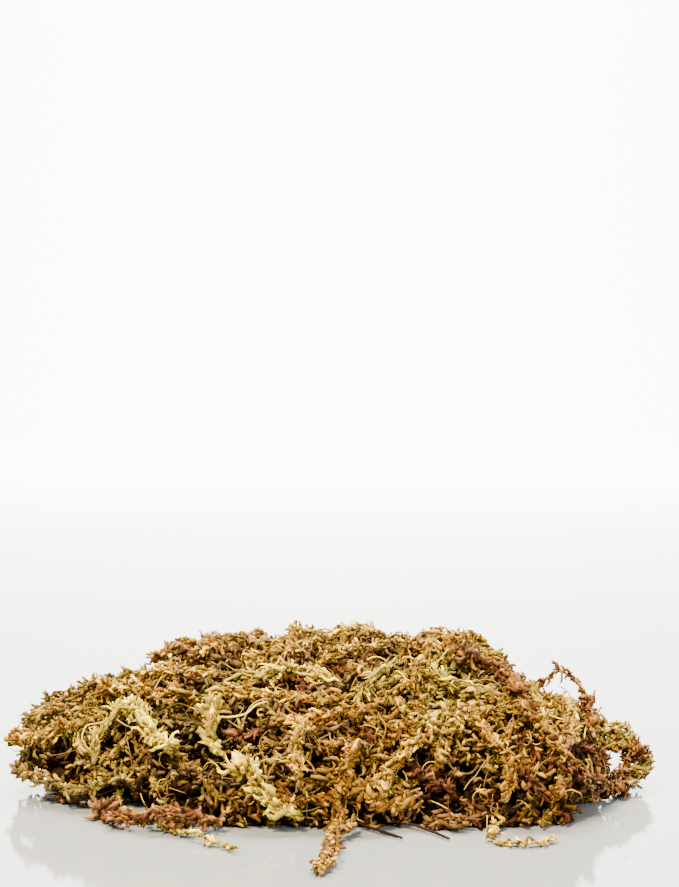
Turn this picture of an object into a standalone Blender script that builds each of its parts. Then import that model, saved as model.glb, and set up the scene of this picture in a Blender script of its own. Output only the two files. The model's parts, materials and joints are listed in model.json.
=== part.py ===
"""A clump of dried sphagnum moss, resting on its flat underside.

Strands that are knotted together make one mat. Single strands lie over it, arch out of
it and trail on the surface that it rests on, and two bits of bark lie at its foot.
Sizes are in millimetres until they reach Blender. +X is to the viewer's right, +Y is
away from the viewer and +Z is up.
"""

import math

import bmesh
import bpy
import numpy as np
from mathutils import Matrix, Vector
from mathutils.bvhtree import BVHTree

MM = 0.001

# The mat: ellipsoids that overlap, as (centre, radii).
MAT_LUMPS = {
    "ridge": ((-12, 27, 18), (88, 46, 38)),
    "front_apron": ((0, -8, 8), (76, 35, 31)),
    "brow": ((-24, 4, 30), (44, 26, 19)),
    "left_wing": ((-80, 14, 17), (44, 34, 25)),
    "left_shoulder": ((-58, 0, 24), (28, 24, 18)),
    "left_tip": ((-110, 8, 16), (21, 17, 12)),
    "right_front": ((72, -8, 17), (31, 30, 26)),
    "right_top": ((42, 24, 24), (37, 38, 31)),
    "right_back": ((88, 18, 11), (21, 24, 15)),
    "front_left_foot": ((-40, -24, 8), (36, 22, 14)),
    "front_right_foot": ((60, -28, 6), (30, 19, 11)),
    "back_foot": ((8, 50, 10), (64, 30, 26)),
}
# Knots on the lumps: short rolls that lie along the skin and stand half out of it. One
# that would start deeper in another lump than this share of its radii is left out.
KNOTS = 150
KNOT_HALF_LENGTH = (8.0, 15.0)
KNOT_RADIUS = (3.5, 5.0)
KNOT_LOWEST = 5.0
KNOT_DEEPEST = 0.97
KNOT_SEED = 5
BALL_SUBDIVISIONS = 4
MAT_VOXEL = 2.6
MAT_SMOOTHING_STEPS = 4
MAT_KEPT_TRIANGLES = 0.16
FLOOR_BLOCK = (400.0, 400.0, 200.0)

# A strand: a stem with its branchlets drawn in round it, so a soft rope of this size.
STRAND_RADIUS = 3.2
STRAND_STEP = 5.6
STRAND_TIP_SHARE = 0.55
STRAND_BEVEL_RESOLUTION = 2

# Gaps that a strand is laid at over the mat and beside its neighbours, and the least
# that is left after that: a stretch that comes nearer is trimmed off.
SEAT_GAP = 0.38
STRAND_GAP = 0.4
LEAST_GAP = 0.34
FLOOR_GAP = 0.05

# Settling: the rounds that relax a line, those that space it out again, the rounds that
# also smooth it, and the places between two points that are kept clear as well.
SETTLING_ROUNDS = 24
RESPACING_ROUNDS = (4, 9, 14)
SMOOTHING_ROUNDS = {"grown": 17, "lying": 6, "free": 1}
SPAN_SHARES = (0.25, 0.5, 0.75)

# The eye that the seen points are looked at from, and the depths that a line of sight
# is searched over where it passes the mat by.
EYE = Vector((0.0, -696.0, 224.6))
SIGHT_DEPTHS = range(-120, 90, 2)

# Routes: (finish, radius, points). A point of two numbers is seen: (x, z) on the upright
# plane y = 0, and it is laid on the mat along the line of sight. A point of three
# numbers stands free.
STRAND_ROUTES = {
    "centre_fall_strand": ("straw", 3.4, [(9, 22), (3, 15), (1, 5), (-1, -6), (-2, -12)]),
    "front_tail_strand": (
        "straw", 3.6,
        [(-2, -19), (-2, -64, 3.7), (-3, -74, 3.7), (-5, -84, 3.7), (-7, -93, 3.7)],
    ),
    "front_left_tendril": (
        "straw", 2.6,
        [(-93, -5), (-88, -27, 3), (-79, -37, 2.7), (-68, -47, 2.7), (-57, -57, 2.7),
         (-47, -65, 2.7), (-38, -73, 2.7)],
    ),
    "front_right_tendril": (
        "straw", 2.4,
        [(66, -14), (61, -49, 2.6), (57, -57, 2.5), (62, -65, 2.5), (73, -65, 2.5),
         (83, -60, 2.5)],
    ),
    "orange_arm_strand": ("amber", 3.0, [(7, 1), (11, -7), (19, -8), (26, -5), (34, 0)]),
    "yellow_bundle_strand": (
        "straw", 4.0, [(-37, 13), (-31, 6), (-24, -5), (-19, -13), (-16, -20)],
    ),
    "pale_tuft_strand": ("straw", 4.2, [(-85, 32), (-78, 27), (-72, 22), (-65, 18)]),
    "left_stem_strand": ("straw", 2.2, [(-103, 14), (-101, 24), (-96, 30), (-90, 33)]),
    "hanging_branch_strand": ("straw", 3.6, [(-52, 33), (-54, 24), (-52, 16), (-48, 9)]),
    "pale_brow_strand": ("straw", 3.0, [(-38, 47), (-25, 50), (-11, 48), (2, 43)]),
    "brow_arch_strand": ("straw", 2.6, [(9, 43), (13, 47), (17, 51), (23, 56)]),
    "right_long_strand": ("straw", 2.8, [(37, 49), (49, 45), (60, 42), (69, 38)]),
    "orange_middle_strand": ("amber", 3.2, [(-27, 31), (-14, 29), (-4, 30), (5, 31), (15, 35)]),
    "right_crown_strand": ("umber", 3.8, [(50, 57), (58, 54), (66, 51), (71, 45), (74, 38)]),
    "left_rim_strand": ("straw", 3.0, [(-124, 32), (-109, 39), (-95, 44), (-80, 50)]),
    "crest_strand": ("amber", 3.2, [(-74, 56), (-62, 59), (-45, 62), (-29, 65)]),
    "left_run_strand": ("straw", 3.0, [(-129, 14), (-116, 8), (-99, 5), (-83, 4)]),
    "front_left_trail": (
        "amber", 3.8,
        [(-94, -33, 4), (-85, -43, 4), (-73, -46, 4), (-62, -51, 4), (-50, -18)],
    ),
    "left_low_strand": ("umber", 3.0, [(-112, 1), (-102, 0), (-90, -2), (-78, -3)]),
    "front_foot_strand": ("umber", 3.0, [(41, -10), (50, -10), (62, -12)]),
    "right_outer_strand": ("amber", 3.4, [(77, 33), (86, 27), (91, 17), (91, 6), (86, -4)]),
    "right_inner_strand": ("amber", 3.2, [(58, 28), (66, 20), (71, 8), (68, -4)]),
    "amber_cap_strand": ("amber", 3.4, [(48, 24), (55, 31), (65, 34)]),
    "right_arch_stem": (
        "umber", 2.2,
        [(104, 22), (103, 13, 36), (100, 13, 42), (95, 12, 46), (90, 10, 47),
         (85, 8, 45), (80, 6, 42)],
    ),
    "right_end_loop": (
        "umber", 5.0,
        [(84, 30), (100, 9, 28), (111, 8, 24.5), (120, 8, 21.5), (127, 8, 15), (128, 6, 8.5),
         (123, 3, 5.1), (116, 2, 5.1), (107, 1)],
    ),
    "right_foot_strand": ("umber", 3.2, [(99, 6), (107, 4), (113, 0), (119, -2)]),
}

# Bits of bark: (radius, points), each lying on the surface with its root at the mat.
BARK_ROUTES = {
    "bark_sliver_front": (0.8, [(7, -15), (15, -50, 1.6), (24, -57, 1.1)]),
    "bark_sliver_right": (0.7, [(29, -15), (35, -50, 1.5), (42, -58, 1.0)]),
}

# Strands that grow over the rest of the mat: (name, count, finish, azimuths, elevations),
# in degrees, where azimuth 0 faces the viewer and 90 is on the viewer's right.
REGIONS = [
    ("front_strand", 8, "amber", (-75, 70), (8, 60)),
    ("crown_strand", 6, "straw", (-180, 180), (50, 90)),
    ("left_strand", 5, "straw", (-120, -70), (8, 60)),
    ("right_strand", 3, "amber", (70, 120), (8, 60)),
    ("back_strand", 8, "umber", (120, 240), (8, 55)),
]
# They start where a ray towards the hub meets the mat, and wander with a drift, in
# radians a step, that keeps part of its last value.
GROW_HUB = Vector((-6.0, 18.0, 12.0))
GROW_REACH = 300.0
GROW_STEPS = (7, 18)
GROW_TRIES = 240
FIRST_DRIFT = 0.3
DRIFT_CHANGE = 0.12
DRIFT_KEPT = 0.6
GROW_SWERVES = (0.0, 0.35, -0.35, 0.7, -0.7)
SHORTEST_STEP = 0.7 * STRAND_STEP
SHARPEST_BEND = math.radians(38)
GROW_SEED = 11

# Finishes: (colour, roughness).
FINISHES = {
    "matted": ((0.19, 0.12, 0.05), 0.95),
    "straw": ((0.68, 0.50, 0.21), 0.8),
    "amber": ((0.55, 0.30, 0.09), 0.8),
    "umber": ((0.31, 0.15, 0.06), 0.85),
    "bark": ((0.05, 0.03, 0.02), 0.7),
}


def clear_scene():
    """Removes every object that the scene starts with."""
    for obj in list(bpy.data.objects):
        bpy.data.objects.remove(obj, do_unlink=True)


def new_collection(name):
    """A collection linked to the scene."""
    collection = bpy.data.collections.new(name)
    bpy.context.scene.collection.children.link(collection)
    return collection


def new_material(name, colour, roughness):
    """A matt Principled material."""
    material = bpy.data.materials.new(name)
    material.use_nodes = True
    shader = material.node_tree.nodes["Principled BSDF"]
    shader.inputs["Base Color"].default_value = (*colour, 1.0)
    shader.inputs["Roughness"].default_value = roughness
    shader.inputs["Metallic"].default_value = 0.0
    return material


def knot_places():
    """Where the knots lie: half inside a lump's skin and turned at random along it."""
    random = np.random.default_rng(KNOT_SEED)
    centres = np.array([centre for centre, _ in MAT_LUMPS.values()], dtype=float)
    radii = np.array([size for _, size in MAT_LUMPS.values()], dtype=float)
    area = radii[:, 0] * radii[:, 1] + radii[:, 0] * radii[:, 2] + radii[:, 1] * radii[:, 2]
    places = []
    while len(places) < KNOTS:
        lump = random.choice(len(area), p=area / area.sum())
        direction = random.normal(size=3)
        direction /= np.linalg.norm(direction)
        point = centres[lump] + direction * radii[lump]
        depth = np.linalg.norm((point - centres) / radii, axis=1)
        if point[2] < KNOT_LOWEST or np.delete(depth, lump).min() < KNOT_DEEPEST:
            continue
        normal = Vector(direction / radii[lump]).normalized()
        along = normal.cross(Vector(random.normal(size=3))).normalized()
        across = normal.cross(along)
        half_length = random.uniform(*KNOT_HALF_LENGTH)
        girth = random.uniform(*KNOT_RADIUS)
        turn = Matrix((along, across, normal)).transposed().to_4x4()
        stretch = Matrix.Diagonal((half_length, girth, girth, 1.0))
        places.append(Matrix.Translation(point) @ turn @ stretch)
    return places


def mat_mesh():
    """One mesh with a ball for each lump and each knot, stretched to its radii."""
    lumps = [
        Matrix.Translation(centre) @ Matrix.Diagonal((*radii, 1.0))
        for centre, radii in MAT_LUMPS.values()
    ]
    ball = bmesh.new()
    bmesh.ops.create_icosphere(ball, subdivisions=BALL_SUBDIVISIONS, radius=1.0)
    ball_points = [vertex.co.copy() for vertex in ball.verts]
    ball_faces = [[vertex.index for vertex in face.verts] for face in ball.faces]
    ball.free()
    points = []
    faces = []
    for place in [*lumps, *knot_places()]:
        faces += [[index + len(points) for index in face] for face in ball_faces]
        points += [place @ point * MM for point in ball_points]
    mesh = bpy.data.meshes.new("moss_mat")
    mesh.from_pydata(points, [], faces)
    return mesh


def floor_block(collection):
    """A hidden block that stands on the floor, whose underside cuts the mat flat."""
    place = Matrix.Translation((0, 0, FLOOR_BLOCK[2] / 2)) @ Matrix.Diagonal((*FLOOR_BLOCK, 1.0))
    bm = bmesh.new()
    bmesh.ops.create_cube(bm, size=1.0, matrix=Matrix.Scale(MM, 4) @ place)
    mesh = bpy.data.meshes.new("floor_block")
    bm.to_mesh(mesh)
    bm.free()
    block = bpy.data.objects.new("floor_block", mesh)
    collection.objects.link(block)
    block.hide_render = True
    block.display_type = "WIRE"
    return block


def build_mat(collection, material):
    """The mat: its lumps grown into one skin, smoothed and thinned, still round underneath."""
    mat = bpy.data.objects.new("moss_mat", mat_mesh())
    collection.objects.link(mat)
    mat.data.materials.append(material)
    skin = mat.modifiers.new("one_skin", "REMESH")
    skin.mode = "VOXEL"
    skin.voxel_size = MAT_VOXEL * MM
    smooth = mat.modifiers.new("soften", "SMOOTH")
    smooth.iterations = MAT_SMOOTHING_STEPS
    thin = mat.modifiers.new("thin_out", "DECIMATE")
    thin.ratio = MAT_KEPT_TRIANGLES
    return mat


def cut_flat(mat, cutters):
    """Cuts the mat flat along the floor."""
    cut = mat.modifiers.new("flat_underside", "BOOLEAN")
    cut.operation = "INTERSECT"
    cut.object = floor_block(cutters)


def surface(obj):
    """The points of an object's finished surface in millimetres, and its faces."""
    graph = bpy.context.evaluated_depsgraph_get()
    evaluated = obj.evaluated_get(graph)
    mesh = evaluated.to_mesh()
    points = [vertex.co / MM for vertex in mesh.vertices]
    faces = [tuple(face.vertices) for face in mesh.polygons]
    evaluated.to_mesh_clear()
    return points, faces


def distance_to_segments(point, starts, ends):
    """The distance from a point to each segment, and the nearest point on each."""
    along = ends - starts
    share = np.einsum("ij,ij->i", point - starts, along) / np.maximum(
        np.einsum("ij,ij->i", along, along), 1e-9
    )
    nearest = starts + np.clip(share, 0.0, 1.0)[:, None] * along
    return np.linalg.norm(point - nearest, axis=1), nearest


class Tangle:
    """The mat's surface and the strands laid so far, which later strands keep clear of."""

    def __init__(self, tree):
        self.tree = tree
        self.starts = np.zeros((0, 3))
        self.ends = np.zeros((0, 3))
        self.radii = np.zeros(0)

    def add(self, points, radius):
        """Remembers a laid strand."""
        line = np.array([tuple(p) for p in points])
        self.starts = np.vstack([self.starts, line[:-1]])
        self.ends = np.vstack([self.ends, line[1:]])
        self.radii = np.append(self.radii, np.full(len(line) - 1, radius))

    def off_mat(self, point, height, pull):
        """The point at that height over the mat. Without pull it is only ever pushed out."""
        place, normal, _, _ = self.tree.find_nearest(point)
        above = (point - place).dot(normal)
        away = (point - place).length * (1 if above > 0 else -1)
        if away >= height and not pull:
            return point
        outward = (point - place).normalized() * (1 if above > 0 else -1)
        return place + (outward if outward.length else normal) * height

    def off_strands(self, point, radius):
        """The point moved clear of the nearest laid strand."""
        if not len(self.radii):
            return point
        distance, nearest = distance_to_segments(
            np.array(tuple(point)), self.starts, self.ends
        )
        short = self.radii + radius + STRAND_GAP - distance
        worst = int(np.argmax(short))
        if short[worst] <= 0:
            return point
        away = point - Vector(nearest[worst])
        return point + away.normalized() * short[worst]

    def touches(self, point, radius):
        """Whether a rope at the point would come too near the mat or a laid strand."""
        place, normal, _, distance = self.tree.find_nearest(point)
        inside = (point - place).dot(normal) < 0
        return (
            inside
            or distance < radius + LEAST_GAP
            or self.room(point, radius) < LEAST_GAP - STRAND_GAP
        )

    def room(self, point, radius):
        """How far the point is from the nearest laid strand's side, less the gap."""
        if not len(self.radii):
            return math.inf
        distance, _ = distance_to_segments(
            np.array(tuple(point)), self.starts, self.ends
        )
        return float((distance - self.radii).min()) - radius - STRAND_GAP


def smooth_route(points, step):
    """Points at about that step along a Catmull-Rom curve through the given ones."""
    ends = [points[0] * 2 - points[1], *points, points[-1] * 2 - points[-2]]
    route = []
    for a, b, c, d in zip(ends, ends[1:], ends[2:], ends[3:]):
        count = max(1, round((c - b).length / step))
        for i in range(count):
            t = i / count
            route.append(
                0.5 * (2 * b + (c - a) * t + (2 * a - 5 * b + 4 * c - d) * t**2
                       + (3 * b - a - 3 * c + d) * t**3)
            )
    return [*route, points[-1]]


def seen_on_mat(tangle, x, z, height):
    """Where the line of sight through (x, 0, z) meets the mat, at that height over it."""
    ray = (Vector((x, 0.0, z)) - EYE).normalized()
    place, normal, _, _ = tangle.tree.ray_cast(EYE, ray)
    if place is not None and place.z > 0:
        return place + normal * height
    sights = [EYE + ray * (-EYE.y + y) for y in SIGHT_DEPTHS]
    above = [p for p in sights if p.z > height]
    nearest = min(above, key=lambda p: tangle.tree.find_nearest(p)[3])
    return tangle.off_mat(nearest, height, True)


def settle(tangle, points, radius, smoothings, pull):
    """Relaxes a line of points and keeps it clear of mat, strands and floor."""
    height = radius + SEAT_GAP
    for done in range(SETTLING_ROUNDS):
        if done in RESPACING_ROUNDS:
            points = smooth_route(points, STRAND_STEP)
        if 0 < done <= smoothings:
            points = [
                points[0],
                *((a + 2 * b + c) / 4 for a, b, c in zip(points, points[1:], points[2:])),
                points[-1],
            ]
        for i, point in enumerate(points):
            point = tangle.off_mat(point, height, pull)
            point = tangle.off_strands(point, radius)
            point.z = max(point.z, radius + FLOOR_GAP)
            points[i] = point
        for i in range(len(points) - 1):
            for share in SPAN_SHARES:
                inner = points[i].lerp(points[i + 1], share)
                clear = tangle.off_strands(tangle.off_mat(inner, height, False), radius)
                points[i] = points[i] + (clear - inner)
                points[i + 1] = points[i + 1] + (clear - inner)
    for point in points:
        point.z = max(point.z, radius + FLOOR_GAP)
    return longest_clear_run(tangle, points, radius)


def longest_clear_run(tangle, points, radius):
    """The longest stretch of a line that touches nothing."""
    runs = [[]]
    for before, point in zip([points[0], *points], points):
        if tangle.touches(point, radius):
            runs.append([])
            continue
        if any(tangle.touches(before.lerp(point, share), radius) for share in SPAN_SHARES):
            runs.append([])
        runs[-1].append(point)
    return max(runs, key=len)


def lay(tangle, route, radius):
    """Settles a route: seen stretches on the mat, all of it clear of mat, floor and strands."""
    height = radius + SEAT_GAP
    anchors = [
        seen_on_mat(tangle, *p, height) if len(p) == 2 else Vector(p) for p in route
    ]
    hold = "lying" if all(len(p) == 2 for p in route) else "free"
    points = smooth_route(anchors, STRAND_STEP)
    return settle(tangle, points, radius, SMOOTHING_ROUNDS[hold], False)


def tangent_turned(heading, normal, turn):
    """The heading laid in the surface's tangent plane and turned in it."""
    flat = (heading - normal * heading.dot(normal)).normalized()
    return Matrix.Rotation(turn, 3, normal) @ flat


def grow(tangle, random, azimuths, elevations):
    """A strand that wanders over the mat from a random place, or None if it has no room."""
    azimuth = math.radians(random.uniform(*azimuths))
    elevation = math.radians(random.uniform(*elevations))
    outward = Vector((
        math.sin(azimuth) * math.cos(elevation),
        -math.cos(azimuth) * math.cos(elevation),
        math.sin(elevation),
    ))
    place, normal, _, _ = tangle.tree.ray_cast(GROW_HUB + outward * GROW_REACH, -outward)
    heading = Vector(random.normal(size=3))
    wanted = int(random.integers(*GROW_STEPS))
    height = STRAND_RADIUS + SEAT_GAP
    lowest = STRAND_RADIUS + FLOOR_GAP
    point = place + normal * height
    if point.z < lowest or tangle.room(point, STRAND_RADIUS) < 0:
        return None
    points = [point]
    drift = random.normal() * FIRST_DRIFT
    while len(points) < wanted:
        drift = DRIFT_KEPT * drift + random.normal() * DRIFT_CHANGE
        for swerve in GROW_SWERVES:
            turned = tangent_turned(heading, normal, drift + swerve)
            ahead = tangle.off_mat(points[-1] + turned * STRAND_STEP, height, True)
            middle = (ahead + points[-1]) / 2
            room = min(tangle.room(ahead, STRAND_RADIUS), tangle.room(middle, STRAND_RADIUS))
            stepped = (ahead - points[-1]).length > SHORTEST_STEP
            if room > 0 and stepped and ahead.z > lowest:
                break
        else:
            break
        heading = ahead - points[-1]
        normal = tangle.tree.find_nearest(ahead)[1]
        points.append(ahead)
    if len(points) < GROW_STEPS[0]:
        return None
    points = settle(tangle, points, STRAND_RADIUS, SMOOTHING_ROUNDS["grown"], True)
    return points if len(points) >= GROW_STEPS[0] else None


def runs_well(points, radius):
    """Whether a strand bends gently and keeps off itself a few points further on."""
    legs = [after - before for before, after in zip(points, points[1:])]
    if any(leg.angle(following) > SHARPEST_BEND for leg, following in zip(legs, legs[1:])):
        return False
    return all(
        (points[i] - points[j]).length > 2 * radius + STRAND_GAP
        for i in range(len(points))
        for j in range(i + 2, len(points))
    )


def tube(collection, name, points, radius, material, rooted=False):
    """A closed rope along the points, drawn in towards its tips, or only the far one."""
    curve = bpy.data.curves.new(name, "CURVE")
    curve.dimensions = "3D"
    curve.bevel_depth = radius * MM
    curve.bevel_resolution = STRAND_BEVEL_RESOLUTION
    curve.use_fill_caps = True
    spline = curve.splines.new("POLY")
    spline.points.add(len(points) - 1)
    for i, (target, point) in enumerate(zip(spline.points, points)):
        target.co = (*(point * MM), 1.0)
        at_tip = i == len(points) - 1 or (i == 0 and not rooted)
        target.radius = STRAND_TIP_SHARE if at_tip else 1.0
    curve.materials.append(material)
    rope = bpy.data.objects.new(name, curve)
    collection.objects.link(rope)
    return rope


def lay_strands(collection, tangle, materials):
    """The strands that follow a route of their own."""
    for name, (finish, radius, route) in STRAND_ROUTES.items():
        points = lay(tangle, route, radius)
        tangle.add(points, radius)
        rooted = len(route[0]) == 2 and len(route[-1]) == 3
        tube(collection, name, points, radius, materials[finish], rooted)


def lay_bark(collection, tangle, material):
    """The slivers of bark at the foot of the clump."""
    for name, (radius, route) in BARK_ROUTES.items():
        points = lay(tangle, route, radius)
        tangle.add(points, radius)
        tube(collection, name, points, radius, material, rooted=True)


def grow_strands(collection, tangle, materials):
    """The strands that wander over the mat, region by region."""
    random = np.random.default_rng(GROW_SEED)
    for name, count, finish, azimuths, elevations in REGIONS:
        made = 0
        for _ in range(GROW_TRIES):
            points = grow(tangle, random, azimuths, elevations)
            if points is None or not runs_well(points, STRAND_RADIUS):
                continue
            made += 1
            tangle.add(points, STRAND_RADIUS)
            tube(collection, f"{name}_{made:02d}", points, STRAND_RADIUS, materials[finish])
            if made == count:
                break


def stand_on_origin(collection, cutters):
    """Moves everything so that the middle of the clump's box is over the origin."""
    points = np.array([
        tuple(point) for obj in collection.objects for point in surface(obj)[0]
    ])
    middle = (points.min(axis=0) + points.max(axis=0)) / 2 * MM
    for obj in [*collection.objects, *cutters.objects]:
        obj.location.x -= middle[0]
        obj.location.y -= middle[1]


def main():
    """Builds the clump."""
    clear_scene()
    clump = new_collection("sphagnum_moss_clump")
    cutters = new_collection("cutters")
    materials = {name: new_material(name, *look) for name, look in FINISHES.items()}
    mat = build_mat(clump, materials["matted"])
    tangle = Tangle(BVHTree.FromPolygons(*surface(mat)))
    cut_flat(mat, cutters)
    lay_strands(clump, tangle, materials)
    lay_bark(clump, tangle, materials["bark"])
    grow_strands(clump, tangle, materials)
    stand_on_origin(clump, cutters)


main()
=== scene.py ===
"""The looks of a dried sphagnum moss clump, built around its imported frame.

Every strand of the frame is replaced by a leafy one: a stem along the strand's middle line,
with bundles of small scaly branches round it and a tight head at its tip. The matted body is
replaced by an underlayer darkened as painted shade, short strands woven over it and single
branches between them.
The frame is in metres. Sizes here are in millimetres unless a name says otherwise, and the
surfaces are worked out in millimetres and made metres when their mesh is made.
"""

import heapq
import json
import logging
import math
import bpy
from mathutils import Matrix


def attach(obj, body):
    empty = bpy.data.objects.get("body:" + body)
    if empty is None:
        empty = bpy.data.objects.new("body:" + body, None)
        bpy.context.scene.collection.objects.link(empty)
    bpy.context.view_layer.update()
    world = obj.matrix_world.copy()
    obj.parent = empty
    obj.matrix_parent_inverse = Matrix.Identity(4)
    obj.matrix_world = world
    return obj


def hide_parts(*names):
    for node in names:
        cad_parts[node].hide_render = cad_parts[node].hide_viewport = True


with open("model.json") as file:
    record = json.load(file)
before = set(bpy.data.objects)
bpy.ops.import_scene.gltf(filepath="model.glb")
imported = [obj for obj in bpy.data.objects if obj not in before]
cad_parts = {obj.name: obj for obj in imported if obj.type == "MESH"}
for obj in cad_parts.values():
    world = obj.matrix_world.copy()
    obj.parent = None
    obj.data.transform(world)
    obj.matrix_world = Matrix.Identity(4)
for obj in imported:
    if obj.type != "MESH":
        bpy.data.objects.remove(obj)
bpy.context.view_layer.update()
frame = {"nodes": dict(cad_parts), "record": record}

import zlib
from dataclasses import dataclass, field
from enum import Enum
from functools import cached_property
from typing import ClassVar

import bpy
import numpy as np
from bpy.types import Material, Node, NodeSocket, NodeTree, Object
from mathutils import Vector
from mathutils.bvhtree import BVHTree
from numpy import ndarray as Array
from numpy.random import Generator as Random

MM = 0.001
TURN = 2 * math.pi
GOLDEN_ANGLE = math.radians(137.5)
UNROLLED_MAP = "OFBake"
UP = np.array([0.0, 0.0, 1.0])

log = logging.getLogger("moss")


# Colours


class Hue(Enum):
    """The colours of dried sphagnum, as sRGB hex values."""

    CREAM = "#F4D242"
    STRAW = "#DEB640"
    GOLD = "#C09232"
    OLIVE = "#8E7A38"
    TAN = "#8E6A3E"
    AMBER = "#A06A24"
    RUST = "#76462A"
    UMBER = "#503824"


CREAM, STRAW, GOLD, OLIVE, TAN, AMBER, RUST, UMBER = Hue
Hues = tuple[Hue, ...]
Range = tuple[float, float]
Place = tuple[float, float, float]


def linear(colour: str) -> Array:
    """Turns an sRGB hex value into linear red, green and blue, by the sRGB curve."""
    share = np.array([int(colour[i:i + 2], 16) for i in (1, 3, 5)]) / 255.0
    return np.where(share <= 0.04045, share / 12.92, ((share + 0.055) / 1.055) ** 2.4)


def opaque(colour: str) -> tuple[float, ...]:
    """An sRGB hex value as a socket's linear colour."""
    return (*linear(colour), 1.0)


# Numbers on whole arrays


def unit(vectors: Array) -> Array:
    """The vectors at length one."""
    return vectors / np.maximum(np.linalg.norm(vectors, axis=-1, keepdims=True), 1e-9)


def squared_to(vectors: Array, axes: Array) -> Array:
    """The unit parts of the vectors that are square to unit axes."""
    return unit(vectors - (vectors * axes).sum(-1, keepdims=True) * axes)


def waves(points: Array, wavelength: float, seed: int, count: int = 14) -> Array:
    """Smooth noise: the mean of sine waves that run in random directions, times two.

    Args:
        points: places, with the last axis x, y, z.
        wavelength: the waves' middle length, in mm.
        seed: which noise.
        count: how many waves.

    Returns:
        A number of about -1 to 1 for every place.
    """
    random = np.random.default_rng(seed)
    across = unit(random.normal(size=(count, 3)))
    across *= (TURN / (wavelength * random.uniform(0.6, 1.6, (count, 1))))
    phase = random.uniform(0, TURN, count)
    return np.sin(points @ across.T + phase).mean(-1) * 2.0


def wave_vectors(points: Array, wavelength: float, seed: int) -> Array:
    """Three smooth noises at every place, as x, y and z, from the seed and the next two."""
    return np.stack([waves(points, wavelength, seed + k) for k in range(3)], axis=1)


def above_floor(points: Array, least: float | Array, softness: float = 1.2) -> Array:
    """Lifts what would sink into the floor: below the height least + softness, a height comes
    ever closer to least, as a falling exponential.

    Args:
        points: places, with the last axis x, y, z.
        least: the lowest height, or one for every path.
        softness: how far above it the lifting begins.

    Returns:
        The lifted places.
    """
    lifted = points.copy()
    over = np.minimum((lifted[..., 2] - least - softness) / softness, 0.0)
    squeezed = least + softness * np.exp(over)
    lifted[..., 2] = np.where(over < 0, squeezed, lifted[..., 2])
    return lifted


def resampled(points: Array, step: float, smoothing: int = 2) -> Array:
    """A line with evenly spaced points: linear between the given ones, then each point is
    moved to the mean of itself and its neighbours, a few times.

    Args:
        points: the line's points.
        step: the spacing wanted.
        smoothing: how many times.

    Returns:
        The new points.
    """
    reach = np.linalg.norm(np.diff(points, axis=0), axis=1)
    along = np.concatenate([[0.0], np.cumsum(reach)])
    places = np.linspace(0.0, along[-1], max(4, int(round(along[-1] / step)) + 1))
    line = np.stack([np.interp(places, along, points[:, axis]) for axis in range(3)], axis=1)
    for _ in range(smoothing):
        line[1:-1] = 0.25 * line[:-2] + 0.5 * line[1:-1] + 0.25 * line[2:]
    return line


def carried_frames(paths: Array) -> tuple[Array, Array, Array]:
    """Directions along many paths at once. Each path's first sideways direction is square to
    it, and every next one is the last, made square to the path again, so nothing twists.

    Args:
        paths: paths, points and x, y, z.

    Returns:
        The directions along the paths, sideways, and square to both, shaped like the paths.
    """
    steep = 0.9
    along = unit(np.gradient(paths, axis=1))
    sideways = np.empty_like(along)
    start = along[:, 0]
    helper = np.where(np.abs(start[:, 2:]) < steep, UP, np.array([1.0, 0.0, 0.0]))
    sideways[:, 0] = squared_to(helper, start)
    for i in range(1, paths.shape[1]):
        sideways[:, i] = squared_to(sideways[:, i - 1], along[:, i])
    return along, sideways, np.cross(along, sideways)


def frame_of(path: Array) -> tuple[Array, Array, Array]:
    """The directions of carried_frames, for one path."""
    return tuple(lines[0] for lines in carried_frames(path[None]))


# Meshes


def mesh_piece(name: str, places: Array, corners: Array, starts: Array, tints: Array,
               material: Material) -> Object:
    """Makes an object from flat arrays, with its colours in the attribute tint.

    Args:
        name: the object's name.
        places: its vertices, in mm.
        corners: the vertex at every face corner.
        starts: each face's first corner.
        tints: a colour for every vertex.
        material: its finish.

    Returns:
        The object, linked to the scene and smooth shaded.
    """
    mesh = bpy.data.meshes.new(name)
    mesh.vertices.add(len(places))
    mesh.vertices.foreach_set("co", (places * MM).astype(np.float32).ravel())
    mesh.loops.add(len(corners))
    mesh.loops.foreach_set("vertex_index", corners.astype(np.int32))
    mesh.polygons.add(len(starts))
    mesh.polygons.foreach_set("loop_start", starts.astype(np.int32))
    mesh.update(calc_edges=True)
    mesh.shade_smooth()
    colour = np.concatenate([np.clip(tints, 0.0, 1.0), np.ones((len(tints), 1))], axis=1)
    tint = mesh.attributes.new("tint", "FLOAT_COLOR", "POINT")
    tint.data.foreach_set("color", colour.astype(np.float32).ravel())
    mesh.materials.append(material)
    made = bpy.data.objects.new(name, mesh)
    bpy.context.scene.collection.objects.link(made)
    return made


def put_in_place_of(node: str, piece: Object, triangles: int) -> None:
    """Puts a piece on the root body instead of a node of the frame, and reports it.

    Args:
        node: the node that it takes the place of.
        piece: the piece.
        triangles: how many it has.
    """
    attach(piece, "root")
    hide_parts(node)
    log.info("%s: %d triangles", piece.name, triangles)


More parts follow.
